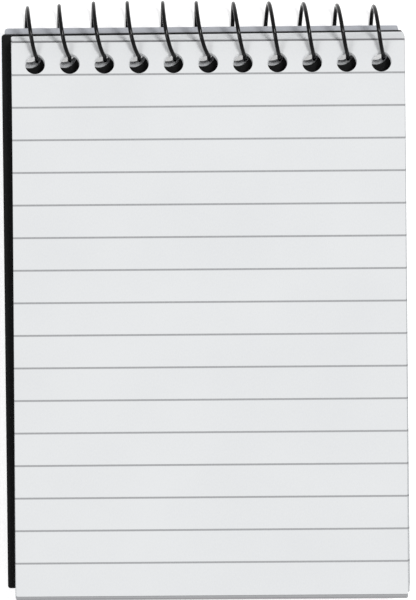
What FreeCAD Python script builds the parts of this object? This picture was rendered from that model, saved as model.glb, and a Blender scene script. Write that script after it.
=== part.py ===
"""Reporter notebook: ruled sheets on a wire spiral, with the covers and the used sheets folded behind."""
import FreeCAD, Part

import math
import os

import Sketcher

# Driving dimensions in millimetres and degrees, each with the alias that the features use.
SIZES = [
    ("page_width", 72.0, "width of a sheet"),
    ("page_length", 102.0, "length of a sheet"),
    ("page_corner", 0.3, "corner radius of a sheet"),
    ("page_stack", 3.0, "thickness of the ruled sheets in front"),
    ("page_lean", 0.95, "how far the rearmost of them stands above the front one"),
    ("turned_stack", 1.6, "thickness of the sheets turned over to the back"),
    ("turned_lean", 0.7, "how far the rearmost turned sheet stands above the first"),
    ("cover_overhang", 1.5, "covers wider than the sheets"),
    ("cover_length", 102.0, "length of both covers"),
    ("cover_corner", 0.5, "corner radius of both covers"),
    ("cover_board", 0.5, "thickness of one cover"),
    ("cover_gap", 0.15, "air between the back cover and the front cover behind it"),
    ("side_margin", 4.0, "least distance from the centre of a hole to the side edge of a sheet"),
    ("hole_pitch", 6.35, "distance between the holes"),
    ("page_hole", 3.7, "hole diameter in the ruled sheets"),
    ("loose_hole", 4.8, "hole diameter in the covers and the turned sheets"),
    ("hole_margin", 3.9, "centre of a hole to the top edge"),
    ("coil_radius", 4.95, "coil axis to the middle of the wire"),
    ("wire_gauge", 0.8, "wire diameter"),
    ("page_drop", 5.3, "front sheet's holes below the coil axis"),
    ("front_step", 2.15, "sideways step of the wire from the front hole to its top"),
    ("top_step", 0.3, "sideways step from the top to the level of the axis behind"),
    ("back_lift", 1.4, "back cover above the front sheet"),
    ("back_shift", 1.1, "back cover to the left of the sheets"),
    ("back_turn", 0.2, "back cover turned against the sheets, in degrees"),
    ("front_lift", 1.45, "front cover above the front sheet"),
    ("front_shift", 1.05, "front cover to the left of the sheets"),
    ("front_turn", 0.2, "front cover turned against the sheets, in degrees"),
    ("turned_lift", 1.6, "first turned sheet above the front sheet"),
    ("turned_shift", 1.2, "turned sheets to the left of the front ones"),
]

doc = FreeCAD.newDocument("reporter_notebook")
sheet = doc.addObject("Spreadsheet::Sheet", "sizes")
for row, (alias, value, meaning) in enumerate(SIZES, 1):
    sheet.set("A%d" % row, alias)
    sheet.set("B%d" % row, str(value))
    sheet.set("C%d" % row, meaning)
    sheet.setAlias("B%d" % row, alias)
doc.recompute()


def size(alias):
    """Returns the value of one driving dimension."""
    return float(sheet.get(alias))


# Heights of the faces of the stack, from the back of the turned sheets upwards, as expressions.
FRONT_COVER_FACE = "(sizes.turned_stack + sizes.cover_board)"
BACK_COVER_FACE = "(sizes.turned_stack + 2 * sizes.cover_board + sizes.cover_gap)"
PAGE_FACE = "(sizes.turned_stack + 2 * sizes.cover_board + sizes.cover_gap + sizes.page_stack)"
HOLE_ROW = "(sizes.page_length / 2 - sizes.hole_margin)"
COVER_WIDTH = "(sizes.page_width + sizes.cover_overhang)"


def value_of(expression):
    """Returns what an expression on the sheet gives."""
    return float(sheet.evalExpression(expression.replace("sizes.", "")))


def hole_places():
    """Returns how far from the middle each hole of a row lies, as many as the sheet has room for."""
    room = size("page_width") - 2 * size("side_margin")
    steps = int(room / size("hole_pitch"))
    return [index - steps / 2 for index in range(steps + 1)]


def plane_of(body, role):
    """Returns the origin plane of a body with the given role."""
    return [item for item in body.Origin.OriginFeatures if item.Role == role][0]


def bind(sketch, constraint, name, expression):
    """Adds a named constraint to a sketch and ties it to the sheet."""
    index = sketch.addConstraint(constraint)
    sketch.renameConstraint(index, name)
    sketch.setExpression("Constraints." + name, expression)


def draw_outline(sketch, width, length):
    """Draws a sheet's rectangle about the row of holes, which lies on the sketch's X axis."""
    half, top, low = 30.0, 4.0, -90.0
    corners = [(-half, low), (half, low), (half, top), (-half, top)]
    for index, (x, y) in enumerate(corners):
        end_x, end_y = corners[(index + 1) % 4]
        sketch.addGeometry(Part.LineSegment(FreeCAD.Vector(x, y, 0), FreeCAD.Vector(end_x, end_y, 0)))
    for index in range(4):
        sketch.addConstraint(Sketcher.Constraint("Coincident", index, 2, (index + 1) % 4, 1))
    for index in range(4):
        sketch.addConstraint(Sketcher.Constraint(["Horizontal", "Vertical"][index % 2], index))
    bind(sketch, Sketcher.Constraint("DistanceX", 3, 2, -1, 1, half), "left", width + " / 2")
    bind(sketch, Sketcher.Constraint("DistanceX", 0, 1, 0, 2, 2 * half), "width", width)
    bind(sketch, Sketcher.Constraint("DistanceY", -1, 1, 2, 2, top), "margin", "sizes.hole_margin")
    bind(sketch, Sketcher.Constraint("DistanceY", 1, 1, 1, 2, top - low), "length", length)


def draw_holes(sketch, diameter):
    """Draws the row of holes, spread evenly about the middle of the sheet."""
    for index, steps in enumerate(hole_places()):
        place = steps * size("hole_pitch")
        hole = Part.Circle(FreeCAD.Vector(place, 0, 0), FreeCAD.Vector(0, 0, 1), 1.0)
        circle = sketch.addGeometry(hole)
        sketch.addConstraint(Sketcher.Constraint("PointOnObject", circle, 3, -1))
        if steps:
            ends = (-1, 1, circle, 3) if steps > 0 else (circle, 3, -1, 1)
            offset = "%g * sizes.hole_pitch" % abs(steps)
            bind(sketch, Sketcher.Constraint("DistanceX", *ends, abs(place)), "place_%d" % index, offset)
        else:
            sketch.addConstraint(Sketcher.Constraint("PointOnObject", circle, 3, -2))
        bind(sketch, Sketcher.Constraint("Diameter", circle, 2.0), "bore_%d" % index, diameter)


def make_layer(label, width, length, corner, hole, thickness, face, lift="0", shift="0", lean="0", turn="0"):
    """Makes one layer of the pad: a punched sheet or stack, pushed down from its front face.

    lift and shift move it from the front sheet's place, lean slants its ends, and turn skews it.
    """
    body = doc.addObject("PartDesign::Body", label)
    body.Label = label
    sketch = body.newObject("Sketcher::SketchObject", label + "_outline")
    sketch.AttachmentSupport = (plane_of(body, "XY_Plane"), [""])
    sketch.MapMode = "FlatFace"
    draw_outline(sketch, width, length)
    draw_holes(sketch, hole)
    pad = body.newObject("PartDesign::Pad", label + "_stack")
    pad.Profile = sketch
    pad.UseCustomVector = True
    pad.AlongSketchNormal = True
    pad.Direction = FreeCAD.Vector(0, value_of(lean), -value_of(thickness))
    pad.setExpression("Direction.y", lean)
    pad.setExpression("Direction.z", "-1 * " + thickness)
    pad.setExpression("Length", thickness)
    doc.recompute()
    upright = []
    for index, edge in enumerate(pad.Shape.Edges):
        off_side = [abs(abs(vertex.Point.x) - value_of(width) / 2) for vertex in edge.Vertexes]
        if edge.BoundBox.ZLength > 0.5 * value_of(thickness) and max(off_side) < 0.01:
            upright.append("Edge%d" % (index + 1))
    rounding = body.newObject("PartDesign::Fillet", label + "_corners")
    rounding.Base = (pad, upright)
    rounding.Radius = value_of(corner)
    rounding.setExpression("Radius", corner)
    body.setExpression("Placement.Base.x", "-1 * (%s)" % shift)
    body.setExpression("Placement.Base.y", "%s + %s" % (HOLE_ROW, lift))
    body.setExpression("Placement.Base.z", face)
    body.setExpression("Placement.Rotation.Angle", turn)
    return body


def side_step(angle):
    """Returns how far left of its front hole the wire lies, by its angle about the coil axis.

    The angle is 0 at the top of a loop and grows towards the front. In front the wire slants
    evenly, behind the top it drops nearly straight, and low behind it steps over to the next hole.
    """
    front_end, behind, back_end = 150.0, -85.0, -150.0
    front, top = size("front_step"), size("top_step")
    rest = size("hole_pitch") - front - top
    if angle >= 0:
        return front * min(1.0, (front_end - angle) / front_end) if angle < front_end else 0.0
    if angle >= behind:
        return front + top * angle / behind
    share = min(1.0, (angle - behind) / (back_end - behind))
    return front + top + rest * share * share * (3 - 2 * share)


def make_wire():
    """Makes the spiral: one wire that goes through every hole, with both ends bent in.

    The path is one smooth curve, swept in runs of a quarter turn so that each face stays short.
    """
    points_a_turn, run = 24, 6
    turn_step = 360 // points_a_turn
    places = hole_places()
    first_angle, loop_start, loop_end, last_angle = 165, 150, -195, -120
    axis_y = value_of(HOLE_ROW) + size("page_drop")
    axis_z = value_of(PAGE_FACE) / 2
    points = []
    for loop, steps in reversed(list(enumerate(places))):
        hole_x = steps * size("hole_pitch")
        begin = first_angle if steps == places[-1] else loop_start
        for angle in range(begin, loop_end if loop else last_angle, -turn_step):
            turn = math.radians(angle)
            points.append(FreeCAD.Vector(
                hole_x - side_step(angle),
                axis_y + size("coil_radius") * math.cos(turn),
                axis_z + size("coil_radius") * math.sin(turn)))
    path = Part.BSplineCurve()
    path.interpolate(points)
    joints = [path.parameter(point) for point in points[::run]] + [path.LastParameter]
    runs = [path.toShape(low, high) for low, high in zip(joints, joints[1:]) if high > low]
    start = path.tangent(path.FirstParameter)[0]
    section = Part.Wire([Part.Circle(points[0], start, size("wire_gauge") / 2).toShape()])
    wire = doc.addObject("Part::Feature", "spiral_wire")
    wire.Label = "spiral_wire"
    wire.Shape = Part.Wire(runs).makePipeShell([section], True, True)
    return wire


page_block = make_layer(
    "page_block", "sizes.page_width", "sizes.page_length", "sizes.page_corner", "sizes.page_hole",
    "sizes.page_stack", PAGE_FACE, lean="sizes.page_lean")
back_cover = make_layer(
    "back_cover", COVER_WIDTH, "sizes.cover_length", "sizes.cover_corner", "sizes.loose_hole",
    "sizes.cover_board", BACK_COVER_FACE, "sizes.back_lift", "sizes.back_shift", turn="sizes.back_turn")
front_cover = make_layer(
    "front_cover", COVER_WIDTH, "sizes.cover_length", "sizes.cover_corner", "sizes.loose_hole",
    "sizes.cover_board", FRONT_COVER_FACE, "sizes.front_lift", "sizes.front_shift", turn="sizes.front_turn")
turned_pages = make_layer(
    "turned_pages", "sizes.page_width", "sizes.page_length", "sizes.page_corner", "sizes.loose_hole",
    "sizes.turned_stack", "sizes.turned_stack", "sizes.turned_lift", "sizes.turned_shift",
    lean="sizes.turned_lean")
spiral_wire = make_wire()
doc.recompute()

for item in doc.Objects:
    if "Invalid" in item.State or "Error" in item.State:
        raise RuntimeError("%s failed: %s" % (item.Name, item.State))

os.makedirs("parts", exist_ok=True)
for piece in (page_block, back_cover, front_cover, turned_pages, spiral_wire):
    shape = piece.Shape
    if shape.isNull() or not shape.isValid():
        raise RuntimeError(piece.Label + " has no valid shape")
    shape.exportStep("parts/%s.step" % piece.Label)
    box = shape.BoundBox
    print("%-13s solids %d volume %9.2f x %.2f..%.2f y %.2f..%.2f z %.2f..%.2f" % (
        piece.Label, len(shape.Solids), shape.Volume, box.XMin, box.XMax, box.YMin, box.YMax,
        box.ZMin, box.ZMax))
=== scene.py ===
import logging
import math
from dataclasses import dataclass, field
from enum import Enum
from typing import Any, Union

import bpy
from mathutils import Matrix, Vector


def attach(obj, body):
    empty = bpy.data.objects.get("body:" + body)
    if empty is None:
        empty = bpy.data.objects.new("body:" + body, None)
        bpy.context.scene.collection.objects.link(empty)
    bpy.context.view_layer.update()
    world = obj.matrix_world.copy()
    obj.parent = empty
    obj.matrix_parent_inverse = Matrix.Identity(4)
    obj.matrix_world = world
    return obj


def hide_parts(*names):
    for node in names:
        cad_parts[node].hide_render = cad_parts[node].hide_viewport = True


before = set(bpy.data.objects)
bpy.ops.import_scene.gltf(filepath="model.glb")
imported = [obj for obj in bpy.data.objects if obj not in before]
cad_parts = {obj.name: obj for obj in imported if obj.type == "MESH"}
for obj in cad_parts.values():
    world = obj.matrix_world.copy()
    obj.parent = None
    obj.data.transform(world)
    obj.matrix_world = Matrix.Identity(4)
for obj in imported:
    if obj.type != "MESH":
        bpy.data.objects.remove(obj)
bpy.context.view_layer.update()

# The looks of a reporter notebook: fanned paper, a wire spiral, black covers and the photo studio.
# Sizes are in millimetres and angles in degrees, except where a docstring says metres.
MM = 0.001
Number = Union[int, float]
log = logging.getLogger("reporter_notebook")


class Slot(Enum):
    """The record's material slots of the new pieces, which the stacks keep but which aren't given to them.
    """

    RULED_PAPER = "ruled_paper"
    TURNED_PAPER = "turned_paper"
    BLACK_WIRE = "black_wire"


class Body(Enum):
    """The bodies of the record."""

    PAD = "pad"
    COVER = "cover"


class Value:
    """A shader socket that takes part in sums, so that shader maths reads as plain maths."""

    def __init__(self, sheet: "NodeSheet", socket: bpy.types.NodeSocket) -> None:
        """Keeps the socket and the node sheet it lies on."""
        self.sheet = sheet
        self.socket = socket

    def join(self, operation: str, *others: Union["Value", Number], swap: bool = False) -> "Value":
        """Adds a Math node.

        Args:
            operation: the Math node's operation.
            others: the further operands.
            swap: whether the further operands come first.

        Returns:
            The node's result.
        """
        operands = [*others, self] if swap else [self, *others]
        node = self.sheet.node("ShaderNodeMath", {"operation": operation}, dict(enumerate(operands)))
        return self.sheet.value(node)

    def __add__(self, other: Union["Value", Number]) -> "Value":
        """Adds."""
        return self.join("ADD", other)

    def __radd__(self, other: Number) -> "Value":
        """Adds to a number."""
        return self.join("ADD", other, swap=True)

    def __sub__(self, other: Union["Value", Number]) -> "Value":
        """Subtracts."""
        return self.join("SUBTRACT", other)

    def __rsub__(self, other: Number) -> "Value":
        """Subtracts from a number."""
        return self.join("SUBTRACT", other, swap=True)

    def __mul__(self, other: Union["Value", Number]) -> "Value":
        """Multiplies."""
        return self.join("MULTIPLY", other)

    def __rmul__(self, other: Number) -> "Value":
        """Multiplies a number."""
        return self.join("MULTIPLY", other, swap=True)

    def __truediv__(self, other: Union["Value", Number]) -> "Value":
        """Divides."""
        return self.join("DIVIDE", other)

    def __rtruediv__(self, other: Number) -> "Value":
        """Divides a number."""
        return self.join("DIVIDE", other, swap=True)

    def size(self) -> "Value":
        """Returns the value without its sign."""
        return self.join("ABSOLUTE")

    def above(self, limit: Number) -> "Value":
        """Returns 1 where the value is above the limit, and 0 elsewhere."""
        return self.join("GREATER_THAN", limit)

    def below(self, limit: Number) -> "Value":
        """Returns 1 where the value is below the limit, and 0 elsewhere."""
        return self.join("LESS_THAN", limit)

    def fade(self, start: Number, end: Number) -> "Value":
        """Returns a value that goes smoothly from 0 at the start to 1 at the end."""
        settings = {"interpolation_type": "SMOOTHSTEP"}
        sockets = {"Value": self, "From Min": start, "From Max": end}
        return self.sheet.value(self.sheet.node("ShaderNodeMapRange", settings, sockets))


class NodeSheet:
    """The node tree of one material or world."""

    def __init__(
        self, owner: Union[bpy.types.Material, bpy.types.World], output: str = "ShaderNodeOutputMaterial"
    ) -> None:
        """Empties the owner's node tree and adds its output node.

        Args:
            owner: the material or world.
            output: the type of its output node.
        """
        self.owner = owner
        owner.use_nodes = True
        self.tree = owner.node_tree
        self.tree.nodes.clear()
        self.output = self.node(output)

    def node(
        self, kind: str, settings: dict[str, Any] | None = None, sockets: dict[Any, Any] | None = None
    ) -> bpy.types.Node:
        """Adds one node.

        Args:
            kind: the node's type.
            settings: its settings by name.
            sockets: what goes into its inputs, by name or number: a Value is linked, the rest is set.

        Returns:
            The node.
        """
        node = self.tree.nodes.new(kind)
        for name, setting in (settings or {}).items():
            setattr(node, name, setting)
        for key, source in (sockets or {}).items():
            if isinstance(source, Value):
                self.tree.links.new(source.socket, node.inputs[key])
            else:
                node.inputs[key].default_value = source
        return node

    def value(self, node: bpy.types.Node, key: Union[int, str] = 0) -> Value:
        """Returns one output of a node."""
        return Value(self, node.outputs[key])

    def mix(self, factor: Value, first: Any, second: Any) -> Value:
        """Mixes two colours.

        Args:
            factor: how much of the second.
            first: a colour or the Value of one.
            second: a colour or the Value of one.

        Returns:
            The mixed colour.
        """
        settings = {"data_type": "RGBA"}
        return self.value(self.node("ShaderNodeMix", settings, {0: factor, 6: first, 7: second}), 2)

    def place(self) -> tuple[Value, Value, Value, Value]:
        """Returns the object coordinates and their three parts."""
        where = self.value(self.node("ShaderNodeTexCoord"), "Object")
        parts = self.node("ShaderNodeSeparateXYZ", sockets={0: where})
        return where, self.value(parts, 0), self.value(parts, 1), self.value(parts, 2)

    def upright(self) -> Value:
        """Returns how far the surface faces up or down, 1 being flat."""
        normal = self.value(self.node("ShaderNodeNewGeometry"), "Normal")
        return self.value(self.node("ShaderNodeSeparateXYZ", sockets={0: normal}), 2).size()

    def noise(self, where: Value, scale: float, detail: float = 2.0) -> Value:
        """Returns a noise of about 0 to 1 with the given number of grains a metre."""
        sockets = {"Vector": where, "Scale": scale, "Detail": detail}
        return self.value(self.node("ShaderNodeTexNoise", sockets=sockets), 0)

    def stretched(self, where: Value, scale: tuple[float, float, float]) -> Value:
        """Returns the coordinates times a scale for each axis."""
        sockets = {0: where, 1: scale}
        return self.value(self.node("ShaderNodeVectorMath", {"operation": "MULTIPLY"}, sockets))

    def bump(self, height: Value, depth: float, strength: float) -> Value:
        """Returns the normal of a surface with the given height map and depth in metres."""
        sockets = {"Height": height, "Distance": depth, "Strength": strength}
        return self.value(self.node("ShaderNodeBump", sockets=sockets), "Normal")

    def show(self, shader: Value) -> None:
        """Links a shader to the output."""
        self.tree.links.new(shader.socket, self.output.inputs["Surface"])

    def finish(self, sockets: dict[str, Any]) -> bpy.types.Material:
        """Ends the material with one Principled shader.

        Args:
            sockets: what goes into the shader.

        Returns:
            The material.
        """
        self.show(self.value(self.node("ShaderNodeBsdfPrincipled", sockets=sockets)))
        return self.owner


@dataclass(frozen=True)
class PaperFinish:
    """Cool white writing paper with faint fibres and printed lines.

    The grains are counts a metre. On the stack's sides the edge colour, banded leaf by leaf, is
    painted shade in the gaps between the leaves. Below shaded_below, a sheet is darkened with a
    painted shadow along the front sheet's edges, and towards the head, from a given height on, the
    paper is painted grey as shade.
    """

    name: str
    paper: tuple[float, float, float] = (0.755, 0.768, 0.775)
    shade: tuple[float, float, float] = (0.722, 0.735, 0.745)
    edge: tuple[float, float, float] = (0.55, 0.565, 0.585)
    ink: tuple[float, float, float] = (0.335, 0.34, 0.35)
    shadow: tuple[float, float, float] = (0.24, 0.24, 0.25)
    first_line: float = 45.1
    line_step: float = 6.0
    line_count: int = 16
    line_width: float = 0.3
    line_blur: float = 0.09
    shaded_below: float | None = None
    head_painted_shade_from: float | None = None
    head_painted_shade: tuple[float, float, float] = (0.50, 0.515, 0.55)
    head_painted_shade_reach: float = 1.5
    half_width: float = 36.0
    half_length: float = 51.0
    head_shade: tuple[float, float] = (0.16, 0.34)
    foot_shade: float = 0.75
    side_shade: float = 0.3
    fibre_grain: float = 5200
    fibre_stretch: tuple[float, float, float] = (1.0, 0.45, 1.0)
    cloud_grain: float = 60
    leaf_grain: float = 300
    leaf_step: float = 0.1
    roughness: float = 0.62
    specular: float = 0.25

    def under_edge(self, across: Value, along: Value, depth: Value) -> Value:
        """Returns how much a sheet is shaded by the edge of the front sheet just above it.

        Args:
            across: the place across the page.
            along: the place along the page.
            depth: the height above the pad's back.

        Returns:
            1 right under the edge, 0 a little further out and on the front sheet itself.
        """
        out_top = along / MM - self.half_length
        head = out_top.fade(-0.1, 0.0) * (1 - out_top.fade(*self.head_shade))
        out_foot = 0 - along / MM - self.half_length
        foot = out_foot.fade(-0.1, 0.05) * self.foot_shade
        out_side = across / MM - self.half_width
        side = out_side.fade(-0.1, 0.05) * self.side_shade
        return head.join("MAXIMUM", foot).join("MAXIMUM", side) * (depth / MM).below(self.shaded_below)

    def build(self) -> bpy.types.Material:
        """Returns the material."""
        sheet = NodeSheet(bpy.data.materials.new(self.name))
        where, across, along, depth = sheet.place()
        flat = sheet.upright().fade(0.3, 0.7)
        fibres = sheet.noise(sheet.stretched(where, self.fibre_stretch), self.fibre_grain, detail=4)
        clouds = sheet.noise(where, self.cloud_grain, detail=3)
        body = sheet.mix((fibres * 0.55 + clouds * 0.45).fade(0.35, 0.7), (*self.paper, 1), (*self.shade, 1))
        row = (self.first_line * MM - along) / (self.line_step * MM)
        offset = ((row + 0.5).join("FRACT") - 0.5).size() * self.line_step
        half = self.line_width / 2
        line = 1 - offset.fade(half - self.line_blur / 2, half + self.line_blur)
        line = line * row.above(-0.5) * row.below(self.line_count - 0.5) * flat
        ink = line * (0.86 + fibres.fade(0.25, 0.7) * 0.14)
        ruled = sheet.mix(ink, body, (*self.ink, 1))
        # On the stack's sides the edge colour, banded leaf by leaf and darkest at each leaf's lower part, is
        # painted shade in the gaps between the leaves.
        waves = sheet.noise(where, self.leaf_grain) * 0.6
        leaves = (depth / (self.leaf_step * MM) + waves).join("FRACT")
        rim_with_painted_gap_shade = sheet.mix(leaves.fade(0.1, 0.75), (*self.edge, 1), (*self.paper, 1))
        colour = sheet.mix(flat, rim_with_painted_gap_shade, ruled)
        if self.shaded_below is not None:
            colour = sheet.mix(self.under_edge(across, along, depth), colour, (*self.shadow, 1))
        # Towards the head the paper is painted grey: painted shade on the turned sheets behind the front
        # ones.
        if self.head_painted_shade_from is not None:
            head_painted_shade_mask = (along / MM).fade(self.head_painted_shade_from, self.head_painted_shade_from + self.head_painted_shade_reach)
            colour = sheet.mix(head_painted_shade_mask, colour, (*self.head_painted_shade, 1))
        normal = sheet.bump(fibres, depth=0.02 * MM, strength=0.12)
        return sheet.finish({
            "Base Color": colour, "Normal": normal, "Roughness": self.roughness,
            "Specular IOR Level": self.specular,
        })


@dataclass(frozen=True)
class CoverFinish:
    """Black poly board with a fine grain, a little greyer along its cut edges.

    The grains are counts a metre.
    """

    name: str
    face: tuple[float, float, float] = (0.0034, 0.0035, 0.0038)
    worn: tuple[float, float, float] = (0.0085, 0.0087, 0.009)
    cut: tuple[float, float, float] = (0.014, 0.014, 0.015)
    board_grain: float = 3400
    wear_grain: float = 150
    roughness: float = 0.42
    specular: float = 0.12

    def build(self) -> bpy.types.Material:
        """Returns the material."""
        sheet = NodeSheet(bpy.data.materials.new(self.name))
        where, _, _, _ = sheet.place()
        grain = sheet.noise(where, self.board_grain, detail=3)
        wear = sheet.noise(where, self.wear_grain, detail=4).fade(0.5, 0.8)
        face = sheet.mix(wear * 0.6 + grain.fade(0.55, 0.8) * 0.25, (*self.face, 1), (*self.worn, 1))
        colour = sheet.mix(sheet.upright().fade(0.3, 0.7), (*self.cut, 1), face)
        rough = self.roughness + wear * 0.14 + grain * 0.1
        normal = sheet.bump(grain, depth=0.05 * MM, strength=0.35)
        return sheet.finish({
            "Base Color": colour, "Normal": normal, "Roughness": rough,
            "Specular IOR Level": self.specular,
        })


@dataclass(frozen=True)
class WireFinish:
    """Steel wire in glossy black nylon, with a slight waviness and a few dull rub marks.

    The grains are counts a metre.
    """

    name: str
    black: tuple[float, float, float] = (0.0035, 0.0035, 0.0038)
    rubbed: tuple[float, float, float] = (0.012, 0.012, 0.0125)
    rub_grain: float = 420
    wave_grain: float = 900
    roughness: float = 0.12
    specular: float = 0.24

    def build(self) -> bpy.types.Material:
        """Returns the material."""
        sheet = NodeSheet(bpy.data.materials.new(self.name))
        where, _, _, _ = sheet.place()
        rub = sheet.noise(where, self.rub_grain, detail=4).fade(0.6, 0.78)
        colour = sheet.mix(rub * 0.5, (*self.black, 1), (*self.rubbed, 1))
        normal = sheet.bump(sheet.noise(where, self.wave_grain), depth=0.02 * MM, strength=0.25)
        return sheet.finish({
            "Base Color": colour, "Normal": normal, "Roughness": self.roughness + rub * 0.16,
            "Specular IOR Level": self.specular,
        })


@dataclass(frozen=True)
class FloorFinish:
    """White studio floor that glows to the camera and in reflections, except under the pad, where it is left
    dark as painted shade.
    """

    name: str
    tone: float = 0.9
    glow: float = 0.5
    half_width: float = 35.0
    half_length: float = 45.5

    def build(self) -> bpy.types.Material:
        """Returns the material."""
        sheet = NodeSheet(bpy.data.materials.new(self.name))
        rays = sheet.node("ShaderNodeLightPath")
        seen = sheet.value(rays, "Is Camera Ray").join("MAXIMUM", sheet.value(rays, "Is Glossy Ray"))
        seen = seen.join("MAXIMUM", sheet.value(rays, "Is Transmission Ray"))
        _, across, along, _ = sheet.place()
        # No glow under the pad: the floor there stays dark, as painted shade seen through the holes.
        beside = (across.size() / MM).above(self.half_width)
        beside = beside.join("MAXIMUM", (along.size() / MM).above(self.half_length))
        glow = sheet.mix(seen * beside, (0, 0, 0, 1), (self.glow, self.glow, self.glow, 1))
        return sheet.finish({
            "Base Color": (self.tone, self.tone, self.tone, 1), "Roughness": 1.0,
            "Specular IOR Level": 0.0, "Emission Color": glow, "Emission Strength": 1.0,
        })


def pick(*pieces: bpy.types.Object) -> None:
    """Selects just the given objects and makes the first one active."""
    bpy.ops.object.select_all(action="DESELECT")
    for piece in pieces:
        piece.select_set(True)
    bpy.context.view_layer.objects.active = pieces[0]


@dataclass(frozen=True)
class LeafPlace:
    """Where one group of leaves lies against the front sheet, in millimetres and degrees."""

    shift: float
    lift: float
    turn: float = 0.0
    hole_lift: float = 0.0


@dataclass
class LeafStack:
    """A stack of punched sheets that fan out a little on the spiral.

    Its front lies at the height face, and air is the gap between two groups of leaves.
    """

    name: str
    node: str
    body: Body
    slot: Slot
    finish: PaperFinish
    face: float
    thickness: float
    hole: float
    places: list[LeafPlace]
    width: float = 72.0
    length: float = 102.0
    corner: float = 0.3
    margin: float = 3.9
    pitch: float = 6.35
    count: int = 11
    air: float = 0.03
    corner_segments: int = 6
    pin_sides: int = 48
    pin_depth: float = 4.0
    smooth_angle: float = 35.0

    @property
    def hole_row(self) -> float:
        """Returns the height of the front sheet's row of holes on the page."""
        return self.length / 2 - self.margin

    def blank(self, place: LeafPlace, top: float, thick: float) -> bpy.types.Object:
        """Makes one unpunched group of leaves.

        Args:
            place: where it lies.
            top: the height of its front face.
            thick: its thickness.

        Returns:
            The object, with its place in its vertices.
        """
        bpy.ops.mesh.primitive_plane_add(size=1.0)
        leaf = bpy.context.object
        leaf.scale = (self.width * MM, self.length * MM, 1)
        pick(leaf)
        bpy.ops.object.transform_apply(location=False, rotation=False, scale=True)
        bpy.ops.object.mode_set(mode="EDIT")
        bpy.ops.mesh.select_all(action="SELECT")
        bpy.ops.mesh.bevel(offset=self.corner * MM, segments=self.corner_segments, affect="VERTICES")
        bpy.ops.object.mode_set(mode="OBJECT")
        shell = leaf.modifiers.new("thickness", "SOLIDIFY")
        shell.thickness, shell.offset = thick * MM, -1
        bpy.ops.object.modifier_apply(modifier=shell.name)
        pivot = Matrix.Translation(Vector((0, self.hole_row, 0)) * MM)
        turn = pivot @ Matrix.Rotation(math.radians(place.turn), 4, "Z") @ pivot.inverted()
        step = Matrix.Translation(Vector((place.shift, place.lift, top)) * MM)
        leaf.data.transform(step @ turn)
        return leaf

    def punch(self, leaf: bpy.types.Object, place: LeafPlace, top: float) -> None:
        """Cuts the row of holes through one group of leaves.

        Args:
            leaf: the group of leaves.
            place: where it lies.
            top: the height of its front face.
        """
        pins = []
        for index in range(self.count):
            across = (index - (self.count - 1) / 2) * self.pitch + place.shift
            where = Vector((across, self.hole_row + place.hole_lift, top)) * MM
            bpy.ops.mesh.primitive_cylinder_add(
                vertices=self.pin_sides, radius=self.hole / 2 * MM, depth=self.pin_depth * MM,
                location=where)
            pins.append(bpy.context.object)
        pick(*pins)
        bpy.ops.object.join()
        pick(leaf)
        cut = leaf.modifiers.new("holes", "BOOLEAN")
        cut.operation, cut.solver, cut.object = "DIFFERENCE", "EXACT", pins[0]
        bpy.ops.object.modifier_apply(modifier=cut.name)
        bpy.data.objects.remove(pins[0], do_unlink=True)

    def build(self) -> bpy.types.Object:
        """Makes and dresses the stack.

        Returns:
            The object, which stands for its CAD node and moves with its body.
        """
        step = self.thickness / len(self.places)
        leaves = []
        for index, place in enumerate(self.places):
            top = self.face - index * step
            leaf = self.blank(place, top, step - (self.air if index < len(self.places) - 1 else 0))
            self.punch(leaf, place, top)
            leaves.append(leaf)
        pick(*leaves)
        bpy.ops.object.join()
        stack = leaves[0]
        stack.name = self.name
        stack.data.name = self.name
        bpy.ops.object.shade_smooth_by_angle(angle=math.radians(self.smooth_angle))
        stack.data.materials.clear()
        stack.data.materials.append(self.finish.build())
        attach(stack, self.body.value)
        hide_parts(self.node)
        return stack


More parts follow.
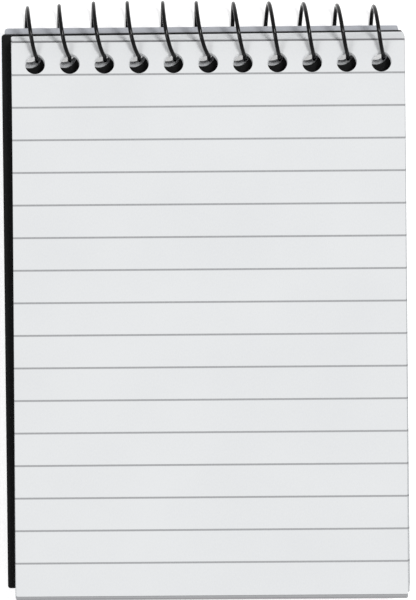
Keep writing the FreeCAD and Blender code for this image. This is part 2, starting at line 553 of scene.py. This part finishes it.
@dataclass
class SpiralWire:
    """The black wire spiral, one smooth tube through every hole with both ends bent in.

    Each loop, from the left, has its own shape: how far right of its hole the wire enters (entries)
    and stands at the top (apexes), the power of its slant in front (bows), how far further left it
    drops behind (back_steps) and how much higher than the radius it stands (crowns). All angles go
    about the coil axis, 0 at the top and growing towards the front.
    """

    axis: tuple[float, float] = (52.4, 2.875)
    radius: float = 4.95
    gauge: float = 0.74
    pitch: float = 6.35
    count: int = 11
    entries: tuple[float, ...] = (0.3, 0.0, 0.1, 0.05, 0.2, 0.15, 0.35, 0.35, 0.35, 0.2, 0.35)
    apexes: tuple[float, ...] = (
        -1.3, -1.85, -1.9, -2.06, -1.9, -2.1, -1.66, -1.48, -1.48, -1.68, -1.3)
    bows: tuple[float, ...] = (1.9, 2.2, 2.2, 2.2, 2.2, 2.1, 1.4, 1.15, 1.15, 1.15, 1.15)
    back_steps: tuple[float, ...] = (0.26, 0.05, 0.1, 0.0, 0.05, 0.0, 0.16, 0.66, 0.72, 0.5, 0.53)
    crowns: tuple[float, ...] = (-0.1, 0.23, 0.65, 0.7, 0.65, 0.6, 0.44, 0.43, 0.28, -0.05, -0.28)
    turn_step: float = 5.0
    start: float = 150.0
    start_right: float = 165.0
    stop: float = -210.0
    stop_left: float = -120.0
    front_end: float = 145.0
    behind: float = -85.0
    back_end: float = -150.0
    tube_resolution: int = 6
    smooth_angle: float = 50.0

    def side(self, loop: int, angle: float) -> float:
        """Returns how far right of its front hole the wire lies.

        In front it slants up to the top of the loop, behind it drops nearly straight, and low
        behind the pad it steps over to the next hole.

        Args:
            loop: the number of the loop from the left.
            angle: the angle about the coil axis, 0 at the top and growing towards the front.

        Returns:
            The offset in millimetres.
        """
        entry, apex = self.entries[loop], self.apexes[loop]
        if angle >= 0:
            return apex + (entry - apex) * min(1.0, angle / self.front_end) ** self.bows[loop]
        if angle >= self.behind:
            return apex - self.back_steps[loop] * angle / self.behind
        share = min(1.0, (angle - self.behind) / (self.back_end - self.behind))
        low, next_hole = apex - self.back_steps[loop], self.entries[max(loop - 1, 0)] - self.pitch
        return low + (next_hole - low) * share * share * (3 - 2 * share)

    def path(self) -> list[Vector]:
        """Returns the points along the wire's middle, in metres."""
        points = []
        for loop in reversed(range(self.count)):
            across = (loop - (self.count - 1) / 2) * self.pitch
            angle = self.start_right if loop == self.count - 1 else self.start
            last = self.stop if loop else self.stop_left
            while angle > last:
                turn = math.radians(angle)
                crown = self.crowns[loop] * max(0.0, math.cos(turn)) ** 2
                out = self.radius + crown
                points.append(Vector((
                    across + self.side(loop, angle),
                    self.axis[0] + out * math.cos(turn),
                    self.axis[1] + self.radius * math.sin(turn))) * MM)
                angle -= self.turn_step
        return points

    def build(self) -> bpy.types.Object:
        """Makes and dresses the wire.

        Returns:
            The object, which stands for its CAD node and moves with the pad.
        """
        points = self.path()
        bpy.ops.curve.primitive_nurbs_path_add()
        wire = bpy.context.object
        curve = wire.data
        curve.splines.clear()
        spline = curve.splines.new("POLY")
        spline.points.add(len(points) - 1)
        for point, place in zip(spline.points, points):
            point.co = (*place, 1)
        curve.dimensions = "3D"
        curve.bevel_depth = self.gauge / 2 * MM
        curve.bevel_resolution = self.tube_resolution
        curve.use_fill_caps = True
        pick(wire)
        bpy.ops.object.convert(target="MESH")
        wire = bpy.context.object
        wire.name = "wire_spiral"
        wire.data.name = "wire_spiral"
        bpy.ops.object.shade_smooth_by_angle(angle=math.radians(self.smooth_angle))
        wire.data.materials.clear()
        wire.data.materials.append(WireFinish("black_nylon_wire").build())
        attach(wire, Body.PAD.value)
        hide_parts("spiral_wire")
        return wire


@dataclass
class Covers:
    """The two black covers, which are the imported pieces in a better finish."""

    nodes: tuple[str, ...] = ("back_cover", "front_cover")
    finish: CoverFinish = field(default_factory=lambda: CoverFinish("black_board"))

    def dress(self) -> None:
        """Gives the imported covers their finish."""
        material = self.finish.build()
        for name in self.nodes:
            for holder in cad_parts[name].material_slots:
                holder.material = material
            log.info("%s dressed", name)


@dataclass(frozen=True)
class Lamp:
    """One square soft lamp, its place and side in metres and its power in watts."""

    name: str
    place: tuple[float, float, float]
    power: float
    side: float


@dataclass
class Studio:
    """The floor, the lamps, the world and the camera of the photograph.

    The floor's side and the camera's distance are in metres.
    """

    floor_height: float = -2.475
    floor_side: float = 6.0
    lamps: tuple[Lamp, ...] = (
        Lamp("key_lamp", (0.7, 0.45, 1.85), 20.0, 0.45), Lamp("fill_lamp", (-1.2, -0.5, 1.6), 7.5, 0.6))
    ambient: float = 0.49
    blueness: float = 1.01
    aim: tuple[float, float, float] = (-0.35, 3.46, 5.75)
    tilt: float = -5.0
    roll: float = -0.43
    distance: float = 4.0
    sensor: float = 24.0
    pixels_tall: int = 600
    pixels_per_mm: float = 5.45

    def add_floor(self) -> None:
        """Lays the white floor under the spiral."""
        bpy.ops.mesh.primitive_plane_add(size=self.floor_side, location=(0, 0, self.floor_height * MM))
        floor = bpy.context.object
        floor.name = "studio_floor"
        pick(floor)
        bpy.ops.object.transform_apply(location=True, rotation=False, scale=False)
        floor.data.materials.append(FloorFinish("white_floor").build())

    def add_lamp(self, lamp: Lamp) -> None:
        """Hangs one lamp that points at the notebook.

        Args:
            lamp: the lamp.
        """
        bpy.ops.object.light_add(type="AREA", location=lamp.place)
        light = bpy.context.object
        light.name = lamp.name
        light.data.shape = "SQUARE"
        light.data.size = lamp.side
        light.data.energy = lamp.power
        light.rotation_euler = (-Vector(lamp.place)).to_track_quat("-Z", "Y").to_euler()

    def add_world(self) -> None:
        """Fills the room with an even grey that shows white to the camera."""
        world = bpy.data.worlds.new("studio_world")
        bpy.context.scene.world = world
        sheet = NodeSheet(world, "ShaderNodeOutputWorld")
        seen = sheet.value(sheet.node("ShaderNodeLightPath"), "Is Camera Ray")
        grey = (self.ambient, self.ambient, self.ambient * self.blueness, 1)
        tone = sheet.mix(seen, grey, (1, 1, 1, 1))
        sheet.show(sheet.value(sheet.node("ShaderNodeBackground", sockets={"Color": tone})))

    def add_camera(self) -> None:
        """Sets up the camera of the photograph, almost straight above the page."""
        bpy.ops.object.camera_add()
        camera = bpy.context.object
        camera.name = "photo_camera"
        turn = Matrix.Rotation(math.radians(self.tilt), 4, "X")
        turn = turn @ Matrix.Rotation(math.radians(self.roll), 4, "Z")
        aim = Matrix.Translation(Vector(self.aim) * MM)
        camera.matrix_world = aim @ turn @ Matrix.Translation((0, 0, self.distance))
        camera.data.sensor_fit = "VERTICAL"
        camera.data.sensor_height = self.sensor
        seen = self.pixels_tall / self.pixels_per_mm * MM
        camera.data.lens = self.sensor * self.distance / seen
        camera.data.clip_start, camera.data.clip_end = 0.1, 20.0
        bpy.context.scene.camera = camera

    def build(self) -> None:
        """Sets up the whole studio."""
        self.add_floor()
        for lamp in self.lamps:
            self.add_lamp(lamp)
        self.add_world()
        self.add_camera()
        bpy.context.scene.view_settings.view_transform = "Standard"


def ruled_leaves() -> LeafStack:
    """Returns the ruled sheets in front: two groups hang lower than the front one, the rest higher."""
    places = [
        LeafPlace(0.0, 0.0),
        LeafPlace(0.05, -0.5, -0.1, -0.2),
        LeafPlace(0.08, -0.82, -0.05, -0.4),
        LeafPlace(0.12, 0.15, 0.12, -0.5),
        LeafPlace(0.0, 0.35, 0.14, -0.55),
        LeafPlace(0.08, 0.5, 0.15, -0.6),
        LeafPlace(0.04, 0.66, 0.16, -0.6),
        LeafPlace(0.1, 0.8, 0.16, -0.6),
        LeafPlace(0.02, 0.98, 0.2, -0.6),
        LeafPlace(-0.1, 1.18, 0.3, -0.6),
    ]
    finish = PaperFinish("ruled_writing_paper", shaded_below=5.47)
    return LeafStack(
        "ruled_leaves", "page_block", Body.PAD, Slot.RULED_PAPER, finish, 5.75, 3.0, 3.7, places)


def turned_leaves() -> LeafStack:
    """Returns the used sheets, turned over with the front cover."""
    places = [
        LeafPlace(-1.2, 1.6, 0.05, 1.6),
        LeafPlace(-1.0, 1.7, 0.1, 1.75),
        LeafPlace(-1.25, 1.86, 0.02, 1.9),
        LeafPlace(-1.1, 2.02, 0.08, 2.0),
        LeafPlace(-1.3, 2.18, 0.0, 2.15),
        LeafPlace(-1.15, 2.3, 0.05, 2.3),
    ]
    # The turned sheets' paper, shade and edge colours are darker and bluer than the ruled paper's: painted
    # shade on the sheets behind the front ones.
    finish = PaperFinish(
        "turned_writing_paper", paper=(0.71, 0.722, 0.735), shade=(0.66, 0.672, 0.69),
        edge=(0.40, 0.41, 0.43), first_line=44.6, head_painted_shade_from=50.0)
    return LeafStack(
        "turned_leaves", "turned_pages", Body.COVER, Slot.TURNED_PAPER, finish, 1.6, 1.6, 4.8, places)


def main() -> None:
    """Builds the notebook's looks and its studio."""
    for stack in (ruled_leaves(), turned_leaves()):
        piece = stack.build()
        log.info("%s: %d faces", piece.name, len(piece.data.polygons))
    wire = SpiralWire().build()
    log.info("%s: %d faces", wire.name, len(wire.data.polygons))
    Covers().dress()
    Studio().build()


if __name__ == "__main__":
    logging.basicConfig(level=logging.INFO)
    main()
